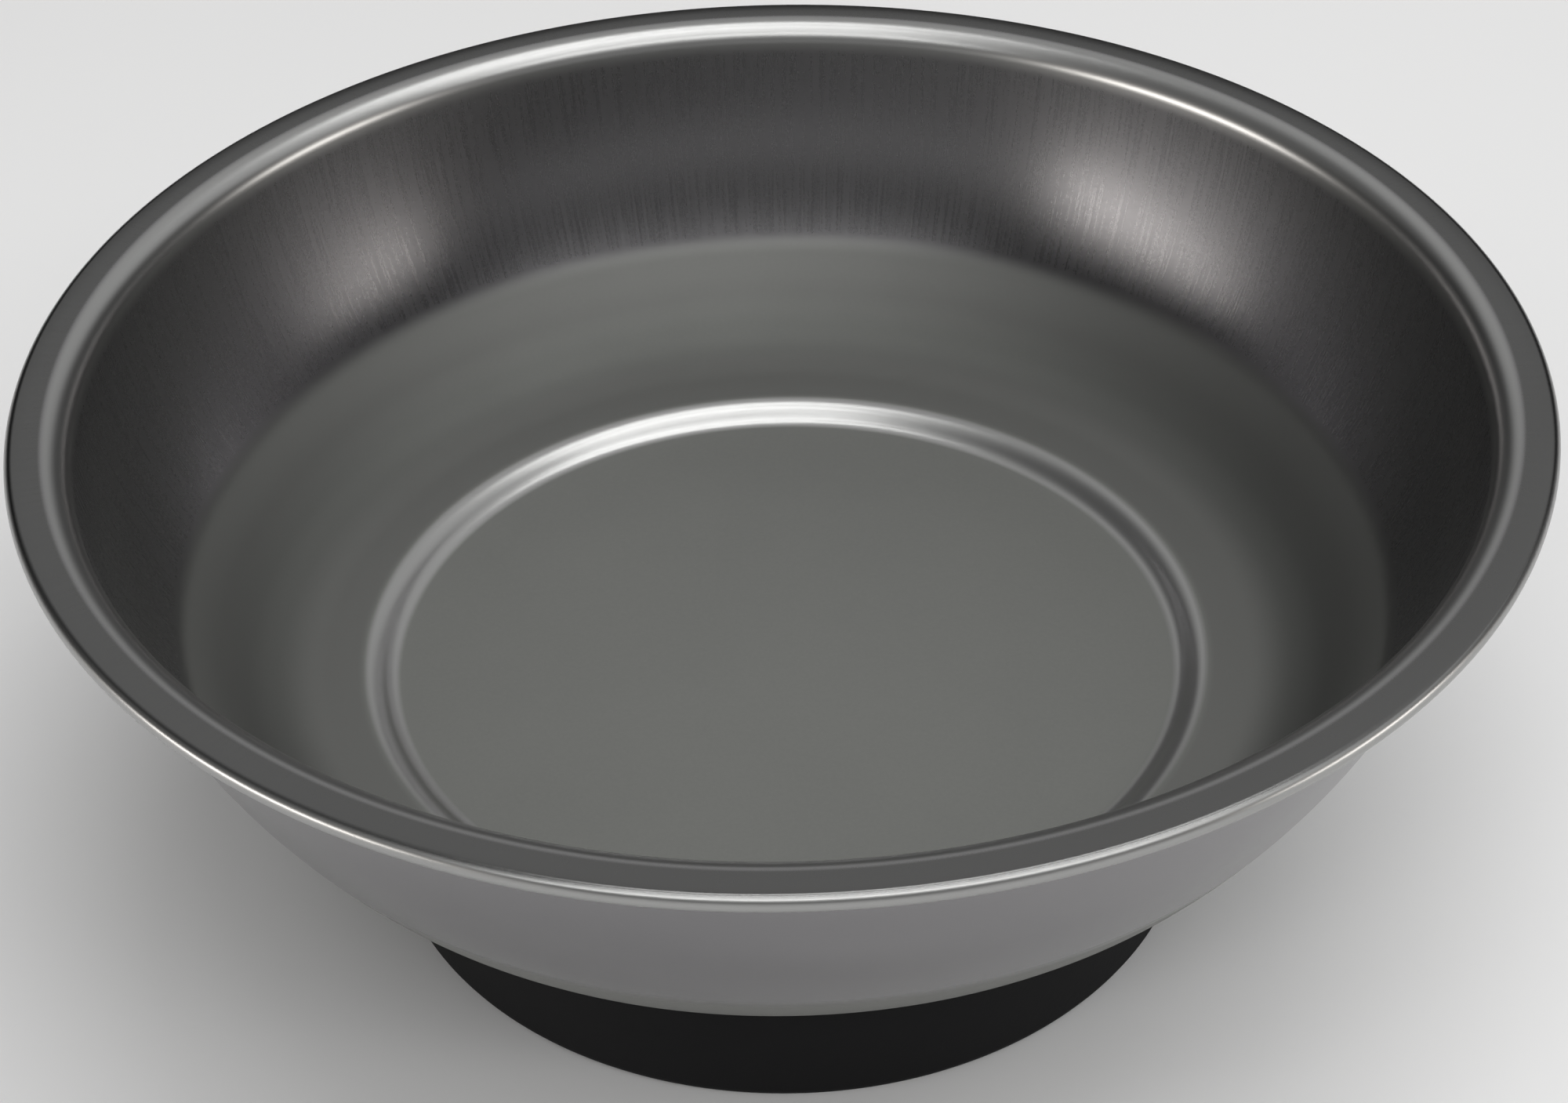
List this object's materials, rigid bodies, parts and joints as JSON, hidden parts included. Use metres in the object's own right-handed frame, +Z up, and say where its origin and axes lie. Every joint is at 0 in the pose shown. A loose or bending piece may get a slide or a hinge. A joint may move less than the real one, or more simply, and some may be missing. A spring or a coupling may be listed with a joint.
{
  "type": "magnetic parts dish",
  "caption": "Round pressed-steel dish with a rolled rim and a stepped-down centre, bonded to a ring magnet in a rubber boot; keeps small loose steel parts together on a bench",
  "frame": {"origin": "centre of the boot's underside, on the dish's axis, where the part meets the bench", "axes": "+Z is up, along the dish's axis; the part is round, so X and Y are any two level directions"},
  "size_m": [0.15, 0.15, 0.058],
  "materials": {
    "stainless": "satin pressed stainless sheet with fine drawing marks",
    "black_rubber": "matt moulded black rubber",
    "ferrite": "ground dark grey sintered ferrite",
    "plated_steel": "bright zinc plated mild steel",
    "adhesive": "cured epoxy adhesive film"
  },
  "bodies": {
    "root": {"dish": "stainless", "dish_bond": "adhesive", "ring_magnet": "ferrite", "plate_bond": "adhesive", "backing_plate": "plated_steel", "rubber_boot": "black_rubber"}
  },
  "joints": []
}
